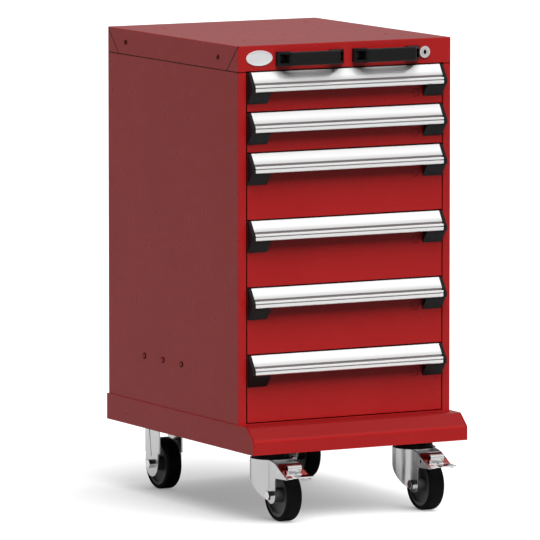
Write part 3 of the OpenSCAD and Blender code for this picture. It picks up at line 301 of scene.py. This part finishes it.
# A copy of a solid in its place, with its triangles joined into flat faces and its sharp edges broken
def rounded(node, finish, radius=0.0, segments=2, chosen=None):
    form = bmesh.new()
    form.from_mesh(nodes[node].data)
    bmesh.ops.remove_doubles(form, verts=form.verts, dist=touch)
    bmesh.ops.dissolve_degenerate(form, edges=form.edges, dist=sliver)
    bmesh.ops.dissolve_limit(form, angle_limit=nearly_flat, verts=form.verts, edges=form.edges)
    if radius > 0.0:
        sharp = [edge for edge in form.edges if edge.is_manifold and edge.calc_face_angle() > crease]
        bevelled(form, [edge for edge in sharp if chosen is None or chosen(edge)], radius, segments)
    piece = add_piece(node + "_rounded", form, finish, body_of(node))
    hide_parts(node)
    return piece


red_coat = grained_finish("red_powder_coat", tones=((0.385, 0.0110, 0.0115), (0.410, 0.0130, 0.0135)),
                          tone_grain=(7.0, 3.0), roughness=(0.27, 0.35), rough_grain=(60.0, 4.0),
                          bump=(0.00002, 0.05), bump_grain=(350.0, 1.0), gloss=0.20)
# Painted shade with dust: faces turned up are blended towards a near-black red.
dust_and_shade_tone, dust_and_shade_rise, dust_and_shade_cover = (0.050, 0.004, 0.004), (0.2, 0.85), (0.0, 0.62)
tree = red_coat.node_tree
base_colour = tree.nodes["Principled BSDF"].inputs["Base Color"]
facing = tree.nodes.new("ShaderNodeNewGeometry")
axes = tree.nodes.new("ShaderNodeSeparateXYZ")
tree.links.new(facing.outputs["True Normal"], axes.inputs["Vector"])
dust_and_shade = blend(tree, ranged(tree, axes.outputs["Z"], dust_and_shade_rise, dust_and_shade_cover), dust_and_shade_tone)
tree.links.new(base_colour.links[0].from_socket, dust_and_shade.inputs["A"])
tree.links.new(dust_and_shade.outputs["Result"], base_colour)
for panel in ("left_side_panel", "right_side_panel", "back_panel", "bottom_panel"):
    rounded(panel, red_coat)


# Top cover. A folded tray of the same painted sheet, laid over the housing, with its corners lapped along a
# mitre seam. Along that seam on the sides and along the joint at its lower edge the coat is painted near
# black as shade. Four painted button-head screws hold it, dark as painted shade but for their small side
# flats in the red coat, and painted plugs close the spare holes in the sides, each with a rim of painted
# shade.

# A finished piece's mesh, opened again so that some of its faces can take a second finish
def reopened(piece, second_finish):
    piece.data.materials.append(second_finish)
    form = bmesh.new()
    form.from_mesh(piece.data)
    return form


def closed(form, piece):
    form.to_mesh(piece.data)
    form.free()


def cut(form, spot, across):
    bmesh.ops.bisect_plane(form, geom=form.verts[:] + form.edges[:] + form.faces[:], dist=sliver,
                           plane_co=spot, plane_no=across)


# A near-black red, painted shade in the cover's seam and joint and round its screws and plugs.
painted_shade_coat = grained_finish("painted_shade_red_coat", tones=((0.030, 0.002, 0.002), (0.045, 0.003, 0.003)),
                           tone_grain=(300.0, 2.0), roughness=(0.35, 0.45), rough_grain=(200.0, 3.0),
                           bump=(0.00002, 0.1), bump_grain=(900.0, 1.0), gloss=0.03)
cover_low, cover_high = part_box("top_cover")
joint_h, seam_run, seam_half, side_skin = 0.0019, 0.047, 0.0011, 0.0012
joint_z = cover_low[2] + joint_h
seam_lean = math.atan2(seam_run, cover_high[2] - cover_low[2])
cover = rounded("top_cover", red_coat)
form = reopened(cover, painted_shade_coat)
cut(form, (0.0, 0.0, joint_z), (0.0, 0.0, 1.0))
seams = []
for corner_y, inward in ((cover_low[1], 1.0), (cover_high[1], -1.0)):
    corner = Vector((0.0, corner_y, cover_high[2]))
    across = Vector((0.0, inward * math.cos(seam_lean), math.sin(seam_lean)))
    cut(form, corner - across * seam_half, across)
    cut(form, corner + across * seam_half, across)
    seams.append((corner, across))
# Faces below the joint, and in the mitre seams on the sides, take the painted shade.
for face in form.faces:
    at = face.calc_center_median()
    on_side = abs(at.x) > cover_high[0] - side_skin
    in_seam = any(abs((at - corner).dot(across)) < seam_half for corner, across in seams)
    if at.z < joint_z or (on_side and in_seam):
        face.material_index = 1
closed(form, cover)

square_mm = 0.000001
socket_area, plug_area = (4.0, 12.0), (40.0, 200.0)
plug_shade_rim, sideways = 0.0019, 0.9
# The screws and the plugs' rims keep the painted shade; the plugs' inner flats and the screws' side flats
# take the red coat.
for fixing, bend, area, rim in (("cover_screws", 0.0002, socket_area, 0.0),
                                ("side_plugs", 0.0003, plug_area, plug_shade_rim)):
    piece = rounded(fixing, painted_shade_coat, bend)
    form = reopened(piece, red_coat)
    flats = [face for face in form.faces if abs(face.normal.x) > sideways
             and area[0] < face.calc_area() / square_mm < area[1]]
    if rim > 0.0:
        bmesh.ops.inset_individual(form, faces=flats, thickness=rim, depth=0.0)
    for face in flats:
        face.material_index = 1
    closed(form, piece)


# Name plate. A bare oval plate of satin aluminium, stamped with a low rim.
# It is glued to the cover's front, left of the pulls.
satin = grained_finish("satin_plate", tones=((0.80, 0.80, 0.81), (0.87, 0.87, 0.88)),
                       tone_grain=(900.0, 2.0, (0.03, 1.0, 1.0)), roughness=(0.30, 0.38),
                       bump=(0.00002, 0.2), metallic=0.35)
plate_w, plate_h, plate_t, plate_steps = 0.056, 0.029, 0.0012, 64
plate_bend, rim_w, rim_t = 0.0004, 0.0016, 0.0004
plate_x, plate_drop, frontal = -0.184, 0.0240, -0.9
centre = Matrix.Translation((plate_x, cover_low[1], cover_high[2] - plate_drop))
oval = Matrix.Diagonal((plate_w / 2, 1.0, plate_h / 2, 1.0))
upright = Matrix.Rotation(math.radians(90.0), 4, "X")
form = bmesh.new()
bmesh.ops.create_circle(form, cap_ends=True, segments=plate_steps, radius=1.0, matrix=centre @ oval @ upright)
grown = bmesh.ops.extrude_face_region(form, geom=form.faces[:])["geom"]
front = next(part for part in grown if isinstance(part, bmesh.types.BMFace))
bmesh.ops.translate(form, verts=front.verts[:], vec=(0.0, -plate_t, 0.0))
bevelled(form, front.edges[:], radius=plate_bend, segments=2)
bmesh.ops.recalc_face_normals(form, faces=form.faces)
front = max((face for face in form.faces if face.normal.y < frontal), key=lambda face: face.calc_area())
bmesh.ops.inset_region(form, faces=[front], thickness=rim_w, depth=0.0)
bmesh.ops.inset_region(form, faces=[front], thickness=rim_t, depth=-rim_t)
add_piece("name_plate", form, satin, "cabinet")


# Mobile base. A welded tray of 3 mm steel in the same red coat, with a bumper folded down over its front
# in wide bends. The side plates are welded on and show a fine seam beside the bumper.
base_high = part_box("mobile_base")[1]


def ends_on_sides(edge):
    return all(abs(abs(vert.co.x) - base_high[0]) < touch for vert in edge.verts)


rounded("mobile_base", red_coat, radius=0.0006, chosen=ends_on_sides)


# Drawers. Each is one welded box of painted sheet: a front pan with its edges folded back in a tight bend,
# a tray behind it, and a plain rail along each side. A round knock-out is pressed into the front. The folded
# edges beside the narrow gaps, and a thin ring round the knock-out, are painted near black as shade.

# Whether an edge lies in the plane at a level on one axis
def lies_at(edge, axis, level):
    return all(abs(vert.co[axis] - level) < touch for vert in edge.verts)


# A test for the edges round the front of a box
def front_rim(low, high):
    limits = [(axis, limit[axis]) for axis in (0, 2) for limit in (low, high)]
    return lambda edge: lies_at(edge, 1, low[1]) and any(lies_at(edge, *limit) for limit in limits)


# A near-black red, painted shade in the gaps round the drawer fronts and round the knock-outs.
gap_shade_coat = grained_finish("gap_shade_red_coat", tones=((0.020, 0.0012, 0.0012), (0.034, 0.0018, 0.0018)),
                           tone_grain=(250.0, 2.0), roughness=(0.5, 0.65), rough_grain=(200.0, 3.0),
                           bump=(0.00002, 0.1), bump_grain=(900.0, 1.0), gloss=0.1)
shaded_edge_depth, shaded_edge_skin, shaded_edge_lean = 0.0045, 0.0002, 0.3
knockout_shade_w, ring_depth, straight_on = 0.0009, (0.0002, 0.0006), -0.99
drawer_numbers = range(1, 7)
for n in drawer_numbers:
    low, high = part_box(f"drawer_{n}_box")
    box = rounded(f"drawer_{n}_box", red_coat, radius=0.0003, chosen=front_rim(low, high))
    form = reopened(box, gap_shade_coat)
    cut(form, (0.0, low[1] + shaded_edge_depth, 0.0), (0.0, 1.0, 0.0))
    pressed = []
    for face in form.faces:
        at = face.calc_center_median()
        outside = max(low[0] - at.x, at.x - high[0], low[2] - at.z, at.z - high[2])
        if outside > -shaded_edge_skin and at.y < low[1] + shaded_edge_depth and abs(face.normal.y) < shaded_edge_lean:
            face.material_index = 1
        if face.normal.y < straight_on and ring_depth[0] < at.y - low[1] < ring_depth[1]:
            pressed.append(face)
    # The ring round each knock-out takes the painted shade.
    for face in bmesh.ops.inset_region(form, faces=pressed, thickness=knockout_shade_w, depth=0.0)["faces"]:
        face.material_index = 1
    closed(form, box)


# Drawer grips. An aluminium extrusion runs along the top of each drawer front. It is satin anodised, with
# the fine lines of the die along its length and a label groove above its rounded nose. The lower half of its
# slope is painted greyer as shade, and the groove's riser and the line along the nose are painted dark as
# shade.
aluminium = grained_finish("satin_aluminium", tones=((0.92, 0.92, 0.92), (0.97, 0.97, 0.97)),
                           tone_grain=(900.0, 2.0, (0.012, 1.0, 1.0)), roughness=(0.17, 0.22),
                           bump=(0.00001, 0.06), metallic=0.58)
# Painted shade: the slope's colour is scaled down towards its foot by the down_slope share.
slope_span, slope_shade_tone = (0.5, 1.0), (1.0, 0.68)
tree = aluminium.node_tree
base_colour = tree.nodes["Principled BSDF"].inputs["Base Color"]
down_slope = tree.nodes.new("ShaderNodeAttribute")
down_slope.attribute_name = "down_slope"
slope_shade = ranged(tree, down_slope.outputs["Fac"], slope_span, slope_shade_tone)
slope_shade.node.interpolation_type = "SMOOTHSTEP"
shaded = tree.nodes.new("ShaderNodeVectorMath")
shaded.operation = "SCALE"
tree.links.new(base_colour.links[0].from_socket, shaded.inputs["Vector"])
tree.links.new(slope_shade, shaded.inputs["Scale"])
tree.links.new(shaded.outputs["Vector"], base_colour)
# A dark aluminium, painted shade on the groove's riser and in the line along the nose.
groove_shade_metal = grained_finish("groove_shade_aluminium", tones=((0.27, 0.24, 0.24), (0.33, 0.30, 0.30)),
                      tone_grain=(700.0, 2.0, (0.012, 1.0, 1.0)), roughness=(0.30, 0.40),
                      bump=(0.00002, 0.15), metallic=1.0)
top_lift, top_skin, slope_end = 0.0009, 0.0004, 1.05
riser_depth, riser_skin, riser_lean, riser_high, riser_low = 0.0053, 0.0011, -0.3, 0.0184, 0.0225
line_middle, line_half, line_skin, line_grow = 0.0276, 0.0004, 0.0002, 0.0006
line_depth = (0.0002, 0.0012)
for n in drawer_numbers:
    low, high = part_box(f"drawer_{n}_grip")
    grip = rounded(f"drawer_{n}_grip", aluminium, radius=0.00025)
    grip.data.materials.append(groove_shade_metal)
    for face in grip.data.polygons:
        from_nose, from_top = face.center.y - low[1], high[2] - face.center.z
        beside_riser = abs(from_nose - riser_depth) < riser_skin and riser_high < from_top < riser_low
        beside_line = abs(from_top - line_middle) < line_half + line_skin
        if beside_riser and face.normal.y < riser_lean:
            face.material_index = 1
        if beside_line and line_depth[0] < from_nose < line_depth[1]:
            face.material_index = 1
    slope_share = grip.data.attributes.new("down_slope", "FLOAT", "POINT")
    for vert in grip.data.vertices:
        share = (high[2] - vert.co.z) / riser_high
        slope_share.data[vert.index].value = share if share < slope_end else 0.0
        from_line = high[2] - line_middle - vert.co.z
        if vert.co.z > high[2] - top_skin:
            vert.co.z += top_lift
        elif vert.co.y < low[1] + line_depth[1] and abs(from_line) < line_half + 2 * line_skin:
            vert.co.z -= math.copysign(line_grow, from_line)


# End caps. Two black nylon mouldings close each grip, and the foot of each braces the grip from below.
# Moulded with a fine spark-eroded grain and softly broken edges.
black_nylon = grained_finish("black_nylon", tones=((0.006, 0.006, 0.0062), (0.009, 0.009, 0.0092)),
                             tone_grain=(1500.0, 2.0), roughness=(0.40, 0.52), rough_grain=(120.0, 3.0),
                             bump=(0.00003, 0.15), gloss=0.18)
for n in drawer_numbers:
    rounded(f"drawer_{n}_end_caps", black_nylon, radius=0.0007)


# Pulls. Two black nylon bridge handles on the cover's front, each held by two socket screws that sit deep in
# pockets in its slanted ends. The screws are black oxide steel.
black_oxide = grained_finish("black_oxide_steel", tones=((0.006, 0.006, 0.007), (0.011, 0.011, 0.012)),
                             tone_grain=(400.0, 3.0), roughness=(0.30, 0.42), bump=(0.00003, 0.25),
                             metallic=0.6)
for side in ("left", "right"):
    rounded(f"{side}_pull", black_nylon, radius=0.0010, segments=3)
rounded("pull_screws", black_oxide, radius=0.0003)


# Lock. A nickel-plated bezel and body, with a plug that turns in it behind a plain keyway painted near black
# as shade, and the zinc-plated cam and lock bar inside the housing.
nickel = grained_finish("bright_nickel", tones=((0.70, 0.69, 0.67), (0.77, 0.76, 0.74)),
                        tone_grain=(300.0, 3.0), roughness=(0.16, 0.24), bump=(0.00002, 0.15), metallic=1.0)
zinc = grained_finish("bright_zinc", tones=((0.60, 0.61, 0.62), (0.68, 0.69, 0.70)),
                      tone_grain=(160.0, 4.0), roughness=(0.20, 0.32), bump=(0.00003, 0.2), metallic=1.0)
# Near black, painted shade in the keyway.
keyway_shade = grained_finish("keyway_shade_black", tones=((0.004, 0.004, 0.004), (0.007, 0.007, 0.007)),
                           tone_grain=(500.0, 2.0), roughness=(0.55, 0.7), bump=(0.00003, 0.2))
rounded("lock_body", nickel, radius=0.0005, segments=3)
plug_low, plug_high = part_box("lock_plug")
plug_x, plug_z = (plug_low[0] + plug_high[0]) / 2, (plug_low[2] + plug_high[2]) / 2
keyway_reach, keyway_depth = 0.0047, (0.0001, 0.010)
plug = rounded("lock_plug", nickel, radius=0.0002)
plug.data.materials.append(keyway_shade)
for face in plug.data.polygons:
    off_axis = math.hypot(face.center.x - plug_x, face.center.z - plug_z)
    if off_axis < keyway_reach and keyway_depth[0] < face.center.y - plug_low[1] < keyway_depth[1]:
        face.material_index = 1
rounded("lock_cam", zinc, radius=0.0002)
rounded("lock_bar", zinc)


# Slides. Rolled channels of zinc-plated steel on the housing's sides, and for each drawer a pair of carriages
# with rollers that run between the cabinet's rail and the drawer's own.
rounded("cabinet_rails", zinc)
for n in drawer_numbers:
    rounded(f"carriage_{n}", zinc)


# Casters. Pressed steel plates and forks in bright chrome plating: rigid ones behind, and in front swivel
# forks under a black seal, with a tipping brake pedal. Bolts are zinc-plated; pedals and axles are polished,
# and the upper flats of the axles' heads are painted black, a painted reflection of the dark above them.
caster_bend = 0.0004
chrome = grained_finish("bright_plating", tones=((0.72, 0.72, 0.73), (0.77, 0.77, 0.78)),
                        tone_grain=(45.0, 3.0), roughness=(0.19, 0.27), bump=(0.00006, 0.06), metallic=1.0)
polished = grained_finish("polished_plating", tones=((0.92, 0.92, 0.92), (0.97, 0.97, 0.97)),
                          tone_grain=(60.0, 3.0), roughness=(0.06, 0.10), bump=(0.00004, 0.02), metallic=1.0)
for pressing in ("swivel_plates", "rigid_forks", "left_swivel_fork", "right_swivel_fork"):
    rounded(pressing, chrome, caster_bend)
for side in ("left", "right"):
    rounded(f"{side}_brake_pedal", polished, caster_bend)
for bolt in ("kingpins", "caster_bolts"):
    rounded(bolt, zinc, caster_bend)

head_t, head_grow, shaded_flat_rise, shaded_flat_endways = 0.006, 0.003, 0.3, 0.5
for name in ("rigid_axles", "left_swivel_axle", "right_swivel_axle"):
    axle = rounded(name, polished, caster_bend)
    axle.data.materials.append(black_oxide)
    # Painted reflection: faces turned up take the black oxide finish.
    for face in axle.data.polygons:
        face.material_index = int(face.normal.z > shaded_flat_rise and abs(face.normal.x) < shaded_flat_endways)
    for side in (-1.0, 1.0):
        bolt = [vert for vert in axle.data.vertices if vert.co.x * side > 0.0]
        outer = max((vert.co.x * side for vert in bolt), default=0.0)
        inner = min((vert.co.x * side for vert in bolt), default=0.0)
        for vert in bolt:
            if vert.co.x * side > outer - head_t / 2:
                vert.co.x += head_grow * side
            elif vert.co.x * side < inner + head_t / 2:
                vert.co.x -= head_grow * side

seal_low, seal_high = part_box("swivel_seals")
seal_r, seal_y = (seal_high[1] - seal_low[1]) / 2, (seal_low[1] + seal_high[1]) / 2
seal_waist, seal_neck = 0.90, 0.80
seal = rounded("swivel_seals", black_nylon, caster_bend)
for vert in seal.data.vertices:
    kingpin_x = math.copysign(seal_high[0] - seal_r, vert.co.x)
    share = (vert.co.z - seal_low[2]) / (seal_high[2] - seal_low[2])
    shrink = seal_waist + (seal_neck - seal_waist) * share
    vert.co.x = kingpin_x + (vert.co.x - kingpin_x) * shrink
    vert.co.y = seal_y + (vert.co.y - seal_y) * shrink


# Wheels. A dished hub moulded in dark grey nylon, which turns on the axle, with a black rubber tyre
# bonded round its rim.
grey_nylon = grained_finish("grey_hub_nylon", tones=((0.105, 0.106, 0.108), (0.128, 0.129, 0.131)),
                            tone_grain=(900.0, 2.0), roughness=(0.38, 0.50), rough_grain=(90.0, 3.0),
                            bump=(0.00004, 0.25))
rubber = grained_finish("black_rubber", tones=((0.0025, 0.0025, 0.0025), (0.0045, 0.0045, 0.0045)),
                        tone_grain=(40.0, 4.0), roughness=(0.50, 0.66), bump=(0.00003, 0.15),
                        bump_grain=(1200.0, 2.0), gloss=0.08)
for end in ("front", "rear"):
    for side in ("left", "right"):
        rounded(f"{end}_{side}_hub", grey_nylon, radius=0.0006)
        rounded(f"{end}_{side}_tyre", rubber)


# The box round the finished pieces, leaving out the floor
low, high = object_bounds()
